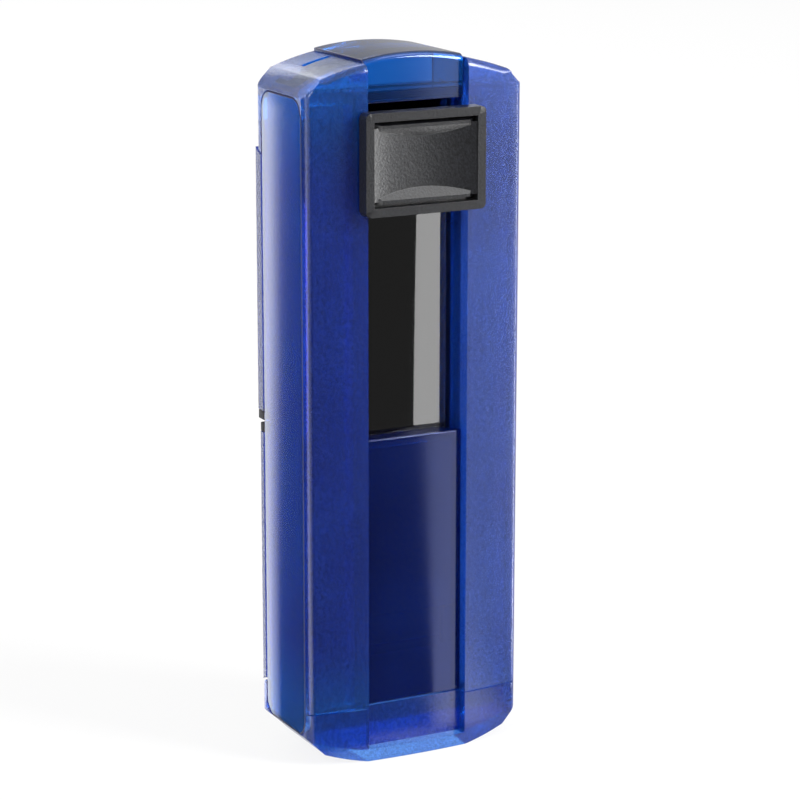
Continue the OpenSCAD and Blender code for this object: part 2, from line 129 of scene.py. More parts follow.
@dataclass(frozen=True)
class Finish:
    """What every finish shares: a name, a base colour and its gloss."""

    name: str
    colour: str
    roughness: float

    def shader(self) -> tuple[bpy.types.Material, bpy.types.NodeTree, bpy.types.Node]:
        """Start a material on the Principled shader.

        Returns:
            The material, its node tree and its Principled node.
        """
        material = bpy.data.materials.new(self.name)
        material.use_nodes = True
        tree = material.node_tree
        principled = tree.nodes["Principled BSDF"]
        principled.inputs["Base Color"].default_value = linear(self.colour)
        principled.inputs["Roughness"].default_value = self.roughness
        return material, tree, principled

    def noise(self, tree: bpy.types.NodeTree, size_mm: float, detail: float = 2.0) -> bpy.types.Node:
        """Noise whose spots are size_mm wide, fixed to the piece.

        Args:
            tree: Node tree of the material.
            size_mm: Width of one spot.
            detail: Octaves of finer noise.

        Returns:
            The noise node.
        """
        place = add_node(tree, "ShaderNodeTexCoord")
        return add_node(
            tree,
            "ShaderNodeTexNoise",
            {"Scale": per_metre(size_mm), "Detail": detail},
            {"Vector": place.outputs["Object"]},
        )

    def bump(
        self,
        tree: bpy.types.NodeTree,
        principled: bpy.types.Node,
        height: bpy.types.NodeSocket,
        depth_mm: float,
    ) -> None:
        """Raise the surface by a height pattern.

        Args:
            tree: Node tree of the material.
            principled: The Principled node.
            height: Grey pattern from 0 to 1.
            depth_mm: How deep the pattern is.
        """
        node = add_node(
            tree, "ShaderNodeBump", {"Strength": 1.0, "Distance": depth_mm * MM}, {"Height": height}
        )
        tree.links.new(node.outputs["Normal"], principled.inputs["Normal"])

    def vary(
        self,
        tree: bpy.types.NodeTree,
        principled: bpy.types.Node,
        pattern: bpy.types.NodeSocket,
        other: str,
        low: float = 0.35,
        high: float = 0.65,
    ) -> bpy.types.NodeSocket:
        """Mix the base colour with another one where the pattern is strong.

        Args:
            tree: Node tree of the material.
            principled: The Principled node.
            pattern: Grey pattern from 0 to 1.
            other: The second colour, as sRGB hex.
            low: Pattern value that is all base colour.
            high: Pattern value that is all second colour.

        Returns:
            The mixed colour.
        """
        ramp = add_node(tree, "ShaderNodeValToRGB", links={"Fac": pattern})
        first, last = ramp.color_ramp.elements
        first.position, first.color = low, linear(self.colour)
        last.position, last.color = high, linear(other)
        tree.links.new(ramp.outputs["Color"], principled.inputs["Base Color"])
        return ramp.outputs["Color"]

    def build(self) -> bpy.types.Material:
        """Return the finished material."""
        return self.shader()[0]


@dataclass(frozen=True)
class TintedPolycarbonate(Finish):
    """Moulded tinted polycarbonate, clear or frosted by a spark-eroded mould."""

    surface: Surface = Surface.POLISHED
    transmission: float = 0.85
    streak: str = "#1a2a80"
    grain_mm: float = 0.34
    grain_depth_mm: float = 0.024
    # how much darker the pits of the grain are painted, as painted shade
    pit_shade: float = 0.5
    # painted light: a lighter colour for both ends, where light shines through the plastic with no black
    # frame behind it, and the heights over which it fades in
    backlit_end: str = ""
    tint: str = "#ffffff"
    ior: float = 1.58
    flow_mm: float = 14.0
    middle_mm: float = 45.0
    backlit_from_mm: float = 28.0
    backlit_to_mm: float = 41.0

    def paint_backlit_ends(self, tree: bpy.types.NodeTree, colour: bpy.types.NodeSocket) -> bpy.types.NodeSocket:
        """Mix in painted light: a lighter colour at both ends, where light shines through the plastic because
        no black frame stands behind it.

        Args:
            tree: Node tree of the material.
            colour: Colour over the black frame.

        Returns:
            The colour with the painted light at its ends.
        """
        place = add_node(tree, "ShaderNodeTexCoord")
        split = add_node(tree, "ShaderNodeSeparateXYZ", links={0: place.outputs["Object"]})
        from_middle = add_node(
            tree, "ShaderNodeMath", {1: -self.middle_mm * MM}, {0: split.outputs["Z"]}, operation="ADD"
        )
        height = add_node(tree, "ShaderNodeMath", links={0: from_middle.outputs[0]}, operation="ABSOLUTE")
        share = add_node(
            tree,
            "ShaderNodeMapRange",
            {"From Min": self.backlit_from_mm * MM, "From Max": self.backlit_to_mm * MM},
            {"Value": height.outputs[0]},
            interpolation_type="SMOOTHSTEP",
        )
        # the colour sockets go by number, since their names are shared with the other kinds of value
        mix = add_node(
            tree,
            "ShaderNodeMix",
            {7: linear(self.backlit_end)},
            {0: share.outputs["Result"], 6: colour},
            data_type="RGBA",
        )
        return mix.outputs[2]

    def build(self) -> bpy.types.Material:
        """Mix the tinted plastic.

        Returns:
            The material.
        """
        material, tree, principled = self.shader()
        # polycarbonate bends light a little more than acrylic does
        principled.inputs["IOR"].default_value = self.ior
        principled.inputs["Transmission Weight"].default_value = self.transmission
        principled.inputs["Specular Tint"].default_value = linear(self.tint)
        # faint cloudiness from the melt flow in the mould
        flow = self.noise(tree, self.flow_mm, 3.0)
        cloud_and_backlight = self.vary(tree, principled, flow.outputs["Fac"], self.streak, 0.3, 0.7)
        # painted light: the ends turn lighter, as light shining through where no black frame stands behind
        if self.backlit_end:
            cloud_and_backlight = self.paint_backlit_ends(tree, cloud_and_backlight)
            tree.links.new(cloud_and_backlight, principled.inputs["Base Color"])
        if self.surface is Surface.FROSTED:
            # the eroded grain is drawn a little coarser than the real 0.1 mm, so that it shows
            grain = self.noise(tree, self.grain_mm, 2.0)
            self.bump(tree, principled, grain.outputs["Fac"], self.grain_depth_mm)
            # painted shade: the base colour is darkened in each pit of the grain, which holds a little less
            # light than its rim
            pit_shade_factor = add_node(
                tree,
                "ShaderNodeMapRange",
                {"From Min": 0.3, "From Max": 0.7, "To Min": 1 - self.pit_shade, "To Max": 1.0},
                {"Value": grain.outputs["Fac"]},
            )
            shade = add_node(
                tree,
                "ShaderNodeVectorMath",
                links={0: cloud_and_backlight, 1: pit_shade_factor.outputs["Result"]},
                operation="MULTIPLY",
            )
            tree.links.new(shade.outputs[0], principled.inputs["Base Color"])
        return material


@dataclass(frozen=True)
class SatinAbs(Finish):
    """Black moulded ABS with a fine leather-like mould grain."""

    grain_mm: float = 0.3
    grain_depth_mm: float = 0.04
    rim: str = "#1a1b1f"

    def build(self) -> bpy.types.Material:
        """Mix the black satin plastic.

        Returns:
            The material.
        """
        material, tree, principled = self.shader()
        principled.inputs["IOR"].default_value = 1.53
        grain = self.noise(tree, self.grain_mm, 3.0)
        self.vary(tree, principled, grain.outputs["Fac"], self.rim)
        self.bump(tree, principled, grain.outputs["Fac"], self.grain_depth_mm)
        return material


@dataclass(frozen=True)
class ClearAcrylic(Finish):
    """Clear cast acrylic, polished, as the window lens."""

    mark_mm: float = 3.0
    mark_depth_mm: float = 0.0003

    def build(self) -> bpy.types.Material:
        """Mix the clear plastic.

        Returns:
            The material.
        """
        material, tree, principled = self.shader()
        principled.inputs["IOR"].default_value = 1.49
        # the hard coat against scratches shines more than bare acrylic
        principled.inputs["Coat Weight"].default_value = 1.0
        principled.inputs["Coat IOR"].default_value = 1.9
        principled.inputs["Coat Roughness"].default_value = 0.0
        principled.inputs["Transmission Weight"].default_value = 1.0
        # hairline wipe marks, far too shallow to bend the view
        marks = self.noise(tree, self.mark_mm, 1.0)
        self.bump(tree, principled, marks.outputs["Fac"], self.mark_depth_mm)
        return material


@dataclass(frozen=True)
class Card(Finish):
    """Dark varnished index card."""

    fibre_mm: float = 0.9
    fibre_depth_mm: float = 0.0004

    def build(self) -> bpy.types.Material:
        """Mix the card.

        Returns:
            The material.
        """
        material, tree, principled = self.shader()
        # the varnish over the print shines almost like glass
        principled.inputs["Specular IOR Level"].default_value = 1.0
        fibre = self.noise(tree, self.fibre_mm, 3.0)
        self.vary(tree, principled, fibre.outputs["Fac"], "#0d0d14")
        self.bump(tree, principled, fibre.outputs["Fac"], self.fibre_depth_mm)
        return material


@dataclass(frozen=True)
class InkFelt(Finish):
    """Wool felt soaked with ink: dark, with fibres that catch the light."""

    fibre_mm: float = 0.5
    fibre_depth_mm: float = 0.12

    def build(self) -> bpy.types.Material:
        """Mix the felt.

        Returns:
            The material.
        """
        material, tree, principled = self.shader()
        principled.inputs["Sheen Weight"].default_value = 0.35
        principled.inputs["Sheen Roughness"].default_value = 0.5
        fibre = self.noise(tree, self.fibre_mm, 6.0)
        self.vary(tree, principled, fibre.outputs["Fac"], "#20245c")
        self.bump(tree, principled, fibre.outputs["Fac"], self.fibre_depth_mm)
        return material


@dataclass(frozen=True)
class MouldedRubber(Finish):
    """Vulcanised rubber, matt with a faint bloom."""

    bloom: str = "#303034"
    bloom_mm: float = 1.2
    bloom_depth_mm: float = 0.015

    def build(self) -> bpy.types.Material:
        """Mix the rubber.

        Returns:
            The material.
        """
        material, tree, principled = self.shader()
        principled.inputs["IOR"].default_value = 1.52
        bloom = self.noise(tree, self.bloom_mm, 4.0)
        self.vary(tree, principled, bloom.outputs["Fac"], self.bloom)
        self.bump(tree, principled, bloom.outputs["Fac"], self.bloom_depth_mm)
        return material


@dataclass(frozen=True)
class CellFoam(Finish):
    """Closed-cell foam: small round cells on every cut face."""

    cell_mm: float = 0.35
    cell_depth_mm: float = 0.08

    def build(self) -> bpy.types.Material:
        """Mix the foam.

        Returns:
            The material.
        """
        material, tree, principled = self.shader()
        place = add_node(tree, "ShaderNodeTexCoord")
        cells = add_node(
            tree,
            "ShaderNodeTexVoronoi",
            {"Scale": per_metre(self.cell_mm)},
            {"Vector": place.outputs["Object"]},
        )
        self.vary(tree, principled, cells.outputs["Distance"], "#6c6c70", 0.1, 0.7)
        self.bump(tree, principled, cells.outputs["Distance"], self.cell_depth_mm)
        return material


@dataclass(frozen=True)
class DrawnSteel(Finish):
    """Drawn steel wire or rod, with fine marks of the die along it."""

    mark_mm: float = 0.12
    mark_depth_mm: float = 0.004

    def build(self) -> bpy.types.Material:
        """Mix the steel.

        Returns:
            The material.
        """
        material, tree, principled = self.shader()
        principled.inputs["Metallic"].default_value = 1.0
        marks = self.noise(tree, self.mark_mm, 2.0)
        self.vary(tree, principled, marks.outputs["Fac"], "#8d9097")
        self.bump(tree, principled, marks.outputs["Fac"], self.mark_depth_mm)
        return material


@dataclass(frozen=True)
class Palette:
    """Every finish on the stamp."""

    # the lighter end colours of the shells and the panel are painted light shining through where no black
    # frame stands behind
    left_shell: Finish = TintedPolycarbonate(
        "polycarbonate_frosted_left",
        "#2258e4",
        0.22,
        Surface.FROSTED,
        0.86,
        "#1c48cc",
        backlit_end="#1278ee",
    )
    right_shell: Finish = TintedPolycarbonate(
        "polycarbonate_frosted_right",
        "#2460d8",
        0.27,
        Surface.FROSTED,
        0.75,
        "#1e50c0",
        backlit_end="#2060d8",
    )
    cap: Finish = TintedPolycarbonate(
        "polycarbonate_cap", "#1a68ec", 0.2, Surface.FROSTED, 0.86, "#1854d8"
    )
    panel: Finish = TintedPolycarbonate(
        "polycarbonate_panel", "#1c70e8", 0.05, Surface.POLISHED, 0.88, "#2460e0", backlit_end="#1c90f8"
    )
    strip: Finish = TintedPolycarbonate(
        "polycarbonate_strip", "#0f60b8", 0.08, Surface.POLISHED, 0.92, "#0c4ca4", tint="#c6d0ff"
    )
    front: Finish = TintedPolycarbonate(
        "polycarbonate_front", "#1a3ca4", 0.08, Surface.POLISHED, 0.9, "#142c88", tint="#c6d0ff"
    )
    # painted shade: this dark navy finish goes on the rounded rims of the panels, strip and cap, standing in
    # for the shade that falls in the seams between parts
    seam: Finish = TintedPolycarbonate(
        "polycarbonate_painted_seam_shade", "#0c1650", 0.3, Surface.POLISHED, 0.2, "#0a1040"
    )
    wing: Finish = TintedPolycarbonate(
        "polycarbonate_wing", "#2258e4", 0.25, Surface.FROSTED, 0.85, "#1c48cc"
    )
    lens: Finish = ClearAcrylic("acrylic_lens", "#f4f6fa", 0.02)
    card: Finish = Card("coated_card", "#07070b", 0.12)
    slider: Finish = SatinAbs("abs_slider_satin", "#0a0a0c", 0.31)
    frame: Finish = SatinAbs("abs_frame_black", "#0a0a0e", 0.42, 0.35, 0.006)
    felt: Finish = InkFelt("felt_ink", "#0c0e30", 0.75)
    feet: Finish = MouldedRubber("rubber_feet", "#161618", 0.7)
    plate: Finish = MouldedRubber("rubber_plate", "#7a3438", 0.6, "#8a4044")
    foam: Finish = CellFoam("foam_cushion", "#55555a", 0.85)
    pin: Finish = DrawnSteel("steel_pin", "#b9bcc2", 0.25)
    spring: Finish = DrawnSteel("steel_spring", "#9fa2a8", 0.32)


# ---------- making pieces ----------


def dress(names: list[str], material: bpy.types.Material, seam: bpy.types.Material | None = None) -> None:
    """Give CAD pieces their material.

    Args:
        names: Node names.
        material: The finish.
        seam: Finish of the rounded rim, where that differs: dark painted shade for the seam beside it.
    """
    for name in names:
        slots = frame["nodes"][name].data.materials
        slots.clear()
        slots.append(material)
        if seam:
            slots.append(seam)


@dataclass(frozen=True)
class Crest:
    """The broad rounding where the domed top meets the crowned front.

    The dome's radius and the cut corner repeat the case's own sizes. The rounding narrows from
    taper_x_mm out to the corner, where the cut leaves it less room.
    """

    top_mm: float
    dome_mm: float = 36.756
    front_mm: float = -4.2
    corner_x_mm: float = 13.6
    corner_drop_mm: float = 1.6
    corner_weight: float = 0.35
    taper_x_mm: float = 10.5
    slack_mm: float = 0.06
    least_across: float = 0.6

    def on_top(self, point: Vector) -> bool:
        """Tell whether a point lies on the dome or on the cut corner beside it.

        Args:
            point: The point in metres.

        Returns:
            True where it does.
        """
        x, _, z = point / MM
        dome = self.top_mm - self.dome_mm + math.sqrt(self.dome_mm**2 - x * x)
        low = dome if abs(x) < self.corner_x_mm else dome - self.corner_drop_mm
        return low - self.slack_mm < z < dome + self.slack_mm

    def weight(self, one: Vector, two: Vector) -> float:
        """Find how strongly an edge is rounded.

        Args:
            one: First end of the edge.
            two: Second end of the edge.

        Returns:
            1 on the middle of the crest, less towards its corners, 0 elsewhere.
        """
        if not (self.on_top(one) and self.on_top(two)):
            return 0.0
        along = two - one
        runs_back = abs(along.x) < self.least_across * along.length
        if runs_back or max(one.y, two.y) / MM > self.front_mm:
            return 0.0
        x = abs(one.x + two.x) / 2 / MM
        share = min(max((x - self.taper_x_mm) / (self.corner_x_mm - self.taper_x_mm), 0.0), 1.0)
        return 1.0 + (self.corner_weight - 1.0) * share

    def mark(self, mesh: bpy.types.Mesh) -> int:
        """Weight the crest's edges for the bevel.

        Args:
            mesh: Mesh of the piece.

        Returns:
            How many edges were marked.
        """
        weights = mesh.attributes.new("bevel_weight_edge", "FLOAT", "EDGE")
        points = mesh.vertices
        count = 0
        for edge in mesh.edges:
            weight = self.weight(points[edge.vertices[0]].co, points[edge.vertices[1]].co)
            if weight:
                weights.data[edge.index].value = weight
                count += 1
        return count


def bevel(node: bpy.types.Object, name: str, width_mm: float, segments: int, weighted: bool) -> None:
    """Add one bevel to a piece.

    Args:
        node: The piece.
        name: Name of the modifier.
        width_mm: Width of the rounding.
        segments: Faces across the rounding.
        weighted: Only round the edges that carry a weight.
    """
    cut = node.modifiers.new(name, "BEVEL")
    cut.width = width_mm * MM
    cut.segments = segments
    cut.limit_method = "WEIGHT" if weighted else "ANGLE"
    cut.angle_limit = math.radians(SHARP_DEG)
    cut.use_clamp_overlap = not weighted
    cut.harden_normals = False
    # the rounded rim takes the dark painted seam shade, where the piece has that slot
    if not weighted and len(node.data.materials) > SEAM_SHADE_SLOT:
        cut.material = SEAM_SHADE_SLOT


def soften(
    names: list[str],
    width_mm: float,
    segments: int = 3,
    crest: Crest | None = None,
    crest_mm: float = 1.1,
    full: bool = False,
) -> None:
    """Round the sharp edges of CAD pieces, as a mould does.

    Args:
        names: Node names.
        width_mm: Width of the rounding.
        segments: Faces across the rounding.
        crest: The broad rounding over the front of the top, where there is one.
        crest_mm: Width of that rounding.
        full: Keep the whole width past short edges, as on a thin plate's corners.
    """
    for name in names:
        node = frame["nodes"][name]
        weld = node.modifiers.new("weld", "WELD")
        weld.merge_threshold = WELD_MM * MM
        if crest or full:
            flat = node.modifiers.new("flats", "DECIMATE")
            flat.decimate_type = "DISSOLVE"
            flat.angle_limit = math.radians(FLAT_DEG)
        if crest:
            LOG.info("%s: %d crest edges", name, crest.mark(node.data))
            bevel(node, "crest", crest_mm, CREST_FACES, True)
        bevel(node, "round", width_mm, segments, False)
        if full:
            node.modifiers["round"].use_clamp_overlap = False
        normal = node.modifiers.new("normals", "WEIGHTED_NORMAL")
        normal.keep_sharp = False
        for face in node.data.polygons:
            face.use_smooth = True


def mesh_object(name: str, build: bmesh.types.BMesh, material: bpy.types.Material) -> bpy.types.Object:
    """Turn a bmesh into an object with one material.

    Args:
        name: Name of the piece.
        build: The mesh, which this call frees.
        material: The finish.

    Returns:
        The new object.
    """
    bmesh.ops.recalc_face_normals(build, faces=build.faces)
    mesh = bpy.data.meshes.new(name)
    build.to_mesh(mesh)
    build.free()
    for face in mesh.polygons:
        face.use_smooth = True
    mesh.materials.append(material)
    piece = bpy.data.objects.new(name, mesh)
    bpy.context.scene.collection.objects.link(piece)
    return piece


@dataclass
class SoftSlab:
    """A felt or foam slab: flat where it is held, slightly crowned, with soft edges."""

    name: str
    node: str
    body: str
    face_side: int
    crown_mm: float
    edge_mm: float
    nap_mm: float
    across: int = 28
    along: int = 64

    def height(self, u: float, v: float, half_u: float, half_v: float) -> float:
        """Drop of the face under its highest level at one point.

        Args:
            u: Distance from the middle across the slab.
            v: Distance from the middle along the slab.
            half_u: Half the slab's width.
            half_v: Half the slab's length.

        Returns:
            The drop in metres.
        """
        edge = self.edge_mm * MM
        rim = min(half_u - abs(u), half_v - abs(v))
        drop = self.crown_mm * MM * max((u / half_u) ** 2, (v / half_v) ** 4)
        if rim < edge:
            drop += edge * (1 - math.sqrt(max(0.0, 1 - (1 - rim / edge) ** 2)))
        wave = math.sin(u / (1.1 * MM)) * math.sin(v / (1.7 * MM) + math.sin(u / (0.7 * MM)))
        return drop + self.nap_mm * MM * (0.5 + 0.5 * wave)

    def build(self, material: bpy.types.Material) -> bpy.types.Object:
        """Build the slab in place of its CAD node.

        Args:
            material: The finish.

        Returns:
            The new piece.
        """
        low, high = (Vector(corner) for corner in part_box(self.node))
        centre = (low + high) / 2
        half_u = (high.x - low.x) / 2
        half_v = (high.z - low.z) / 2
        face_y = high.y if self.face_side > 0 else low.y
        back_y = low.y if self.face_side > 0 else high.y
        build = bmesh.new()
        rows: dict[str, list[list[bmesh.types.BMVert]]] = {"face": [], "back": []}
        for i in range(self.across + 1):
            u = -half_u * math.cos(math.pi * i / self.across)
            face_row = []
            back_row = []
            for j in range(self.along + 1):
                v = -half_v * math.cos(math.pi * j / self.along)
                drop = self.height(u, v, half_u, half_v)
                y = face_y - self.face_side * drop
                face_row.append(build.verts.new((centre.x + u, y, centre.z + v)))
                back_row.append(build.verts.new((centre.x + u, back_y, centre.z + v)))
            rows["face"].append(face_row)
            rows["back"].append(back_row)
        for row in rows.values():
            for i in range(self.across):
                for j in range(self.along):
                    build.faces.new((row[i][j], row[i + 1][j], row[i + 1][j + 1], row[i][j + 1]))
        face, back = rows["face"], rows["back"]
        for i in range(self.across):
            for j in (0, self.along):
                build.faces.new((face[i][j], face[i + 1][j], back[i + 1][j], back[i][j]))
        for j in range(self.along):
            for i in (0, self.across):
                build.faces.new((face[i][j], face[i][j + 1], back[i][j + 1], back[i][j]))
        piece = mesh_object(self.name, build, material)
        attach(piece, self.body)
        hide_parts(self.node)
        return piece


@dataclass
class WireSpring:
    """A torsion spring of round wire: close turns, with a straight leg at the start where one is given."""

    name: str
    start: Point
    axis: Point
    first: Point
    mean_mm: float
    wire_mm: float
    pitch_mm: float
    turns: float
    leg: Point
    steps: int = 24
    sides: int = 10

    def path(self) -> list[Vector]:
        """Points along the middle of the wire.

        Returns:
            The points from the first leg's end to the end of the last turn.
        """
        along = Vector(self.axis).normalized()
        out = Vector(self.first).normalized()
        side = along.cross(out)
        base = Vector(self.start) + along * self.wire_mm * MM
        mean = self.mean_mm * MM
        count = round(self.steps * self.turns)
        coil = []
        for i in range(count + 1):
            turn = 2 * math.pi * i / self.steps
            rise = self.pitch_mm * MM * i / self.steps
            coil.append(base + along * rise + (out * math.cos(turn) + side * math.sin(turn)) * mean)
        tail = Vector(self.leg) * MM
        leg = [coil[0] + tail * k / 4 for k in range(4, 0, -1)] if tail.length else []
        return leg + coil

    def build(self, material: bpy.types.Material) -> bpy.types.Object:
        """Sweep the wire's round section along its path.

        Args:
            material: The finish.

        Returns:
            The new piece.
        """
        points = self.path()
        build = bmesh.new()
        rings = []
        normal = Vector(self.axis).normalized()
        for i, point in enumerate(points):
            ahead = points[min(i + 1, len(points) - 1)] - points[max(i - 1, 0)]
            ahead.normalize()
            flat = ahead.cross(normal).normalized()
            up = flat.cross(ahead)
            ring = []
            for k in range(self.sides):
                angle = 2 * math.pi * k / self.sides
                shift = (flat * math.cos(angle) + up * math.sin(angle)) * self.wire_mm * MM
                ring.append(build.verts.new(point + shift))
            rings.append(ring)
        for one, two in zip(rings, rings[1:]):
            for k in range(self.sides):
                m = (k + 1) % self.sides
                build.faces.new((one[k], one[m], two[m], two[k]))
        build.faces.new(rings[0])
        build.faces.new(rings[-1])
        return mesh_object(self.name, build, material)


# ---------- sub-assemblies ----------


@dataclass
class Case:
    """Shells, panels, strip, window and cap, with the chassis, pad and pins they hold."""

    shell_edge_mm: float = 0.35
    shell_top_mm: float = 89.6
    strip_top_mm: float = 90.0
    panel_edge_mm: float = 0.22
    inner_edge_mm: float = 0.15

    def build(self, paint: Palette) -> None:
        """Dress the case's pieces.

        Args:
            paint: The finishes.
        """
        dress(["left_shell"], paint.left_shell.build())
        dress(["right_shell"], paint.right_shell.build())
        # the dark rim finish is painted shade for the seams between parts
        seam = paint.seam.build()
        dress(["bottom_cap"], paint.cap.build(), seam)
        dress(["left_side_panel", "right_side_panel"], paint.panel.build(), seam)
        dress(["top_strip"], paint.strip.build(), seam)
        dress(["front_panel"], paint.front.build())
        dress(["window_lens"], paint.lens.build())
        dress(["index_card"], paint.card.build())
        dress(["chassis", "pad_tray"], paint.frame.build())
        dress(["upper_hinge_pin", "lower_hinge_pin"], paint.pin.build())
        soften(["left_shell", "right_shell"], self.shell_edge_mm, 3, Crest(self.shell_top_mm))
        soften(["top_strip"], self.panel_edge_mm, 3, Crest(self.strip_top_mm), 0.9)
        soften(["bottom_cap"], self.shell_edge_mm)
        soften(["left_side_panel", "right_side_panel"], self.panel_edge_mm, full=True)
        soften(["front_panel", "chassis", "pad_tray"], self.inner_edge_mm, 2)
        soften(["upper_hinge_pin", "lower_hinge_pin"], 0.12, 2)
        soften(["window_lens", "index_card"], 0.04, 1)
        SoftSlab("ink_pad_felt", "ink_pad", "case", 1, 0.1, 0.35, 0.05).build(paint.felt.build())
        LOG.info("case dressed")


@dataclass
class HingeSprings:
    """The two torsion springs on one hinge pin."""

    node: str
    side: int
    mean_mm: float = 1.4
    wire_mm: float = 0.25
    pitch_mm: float = 0.62
    turns: float = 5
    inner_x_mm: float = 3.3
    leg_mm: float = 2.9

    def build(self, pin: str, material: bpy.types.Material) -> None:
        """Build both springs round the pin.

        Args:
            pin: Node of the hinge pin.
            material: The finish.
        """
        low, high = (Vector(corner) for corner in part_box(pin))
        centre = (low + high) / 2
        for hand, word in ((-1, "left"), (1, "right")):
            spring = WireSpring(
                f"{self.node}_{word}",
                (hand * self.inner_x_mm * MM, centre.y, centre.z),
                (hand, 0, 0),
                (0, 0, -self.side),
                self.mean_mm,
                self.wire_mm,
                self.pitch_mm,
                self.turns,
                (0, -self.leg_mm, 0),
            ).build(material)
            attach(spring, "case")
            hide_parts(self.node)
        LOG.info("springs of %s built", pin)


@dataclass
class Slider:
    """Thumb button and the lock bar behind it."""

    edge_mm: float = 0.22

    def build(self, paint: Palette) -> None:
        """Dress the slider's pieces.

        Args:
            paint: Finishes to dress them with.
        """
        dress(["slider_button"], paint.slider.build())
        dress(["lock_bar"], paint.frame.build())
        soften(["slider_button"], self.edge_mm)
        soften(["lock_bar"], 0.1, 2)
        LOG.info("slider dressed")


@dataclass
class Wings:
    """The two wings with their rubber feet."""

    edge_mm: float = 0.2

    def build(self, paint: Palette) -> None:
        """Dress the wings and feet.

        Args:
            paint: Finishes to dress them with.
        """
        dress(["upper_wing", "lower_wing"], paint.wing.build())
        dress(["upper_wing_feet", "lower_wing_feet"], paint.feet.build())
        soften(["upper_wing", "lower_wing"], self.edge_mm)
        soften(["upper_wing_feet", "lower_wing_feet"], 0.15, 2)
        LOG.info("wings dressed")


@dataclass
class Carrier:
    """The frame that takes the stamp to the paper, with its axle pins and flip springs."""

    edge_mm: float = 0.2
    mean_mm: float = 1.3
    wire_mm: float = 0.2
    pitch_mm: float = 0.46
    turns: float = 4

    def build(self, paint: Palette) -> None:
        """Dress the carrier and build its springs.

        Args:
            paint: Finishes to dress them with.
        """
        dress(["carrier_frame"], paint.frame.build())
        dress(["axle_pins"], paint.pin.build())
        soften(["carrier_frame"], self.edge_mm, 2)
        soften(["axle_pins"], 0.1, 2)
        steel = paint.spring.build()
        low, high = (Vector(corner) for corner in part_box("flip_springs"))
        centre = (low + high) / 2
        rise = (self.pitch_mm * self.turns + 2 * self.wire_mm) * MM
        for hand, word in ((-1, "lower"), (1, "upper")):
            end = high.z - rise if hand > 0 else low.z + rise
            spring = WireSpring(
                f"flip_spring_{word}",
                (centre.x, centre.y, end),
                (0, 0, hand),
                (1, 0, 0),
                self.mean_mm,
                self.wire_mm,
                self.pitch_mm,
                self.turns,
                (0, 0, 0),
            ).build(steel)
            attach(spring, "carrier")
            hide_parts("flip_springs")
        LOG.info("carrier dressed")


@dataclass
class Stamp:
    """Holder, foam cushion and rubber plate."""

    edge_mm: float = 0.2

    def build(self, paint: Palette) -> None:
        """Dress the stamp.

        Args:
            paint: Finishes to dress them with.
        """
        dress(["die_holder"], paint.frame.build())
        dress(["text_plate"], paint.plate.build())
        soften(["die_holder"], self.edge_mm, 2)
        soften(["text_plate"], 0.05, 1)
        SoftSlab("die_cushion_foam", "die_cushion", "stamp", -1, 0.02, 0.12, 0.02).build(paint.foam.build())
        LOG.info("stamp dressed")


# ---------- studio ----------


@dataclass(frozen=True)
class Lamp:
    """One soft lamp: where it hangs, the height it aims at, its face and its power."""

    name: str
    place_mm: Point
    aim_z_mm: float
    face_mm: tuple[float, float]
    watts: float

    def hang(self) -> None:
        """Add the lamp to the scene."""
        data = bpy.data.lights.new(self.name, "AREA")
        data.shape = "RECTANGLE"
        data.size = self.face_mm[0] * MM
        data.size_y = self.face_mm[1] * MM
        data.energy = self.watts
        lamp = bpy.data.objects.new(self.name, data)
        place = Vector(self.place_mm)
        lamp.location = place * MM
        look = (Vector((0, 0, self.aim_z_mm)) - place).normalized()
        lamp.rotation_euler = look.to_track_quat("-Z", "Y").to_euler()
        bpy.context.scene.collection.objects.link(lamp)


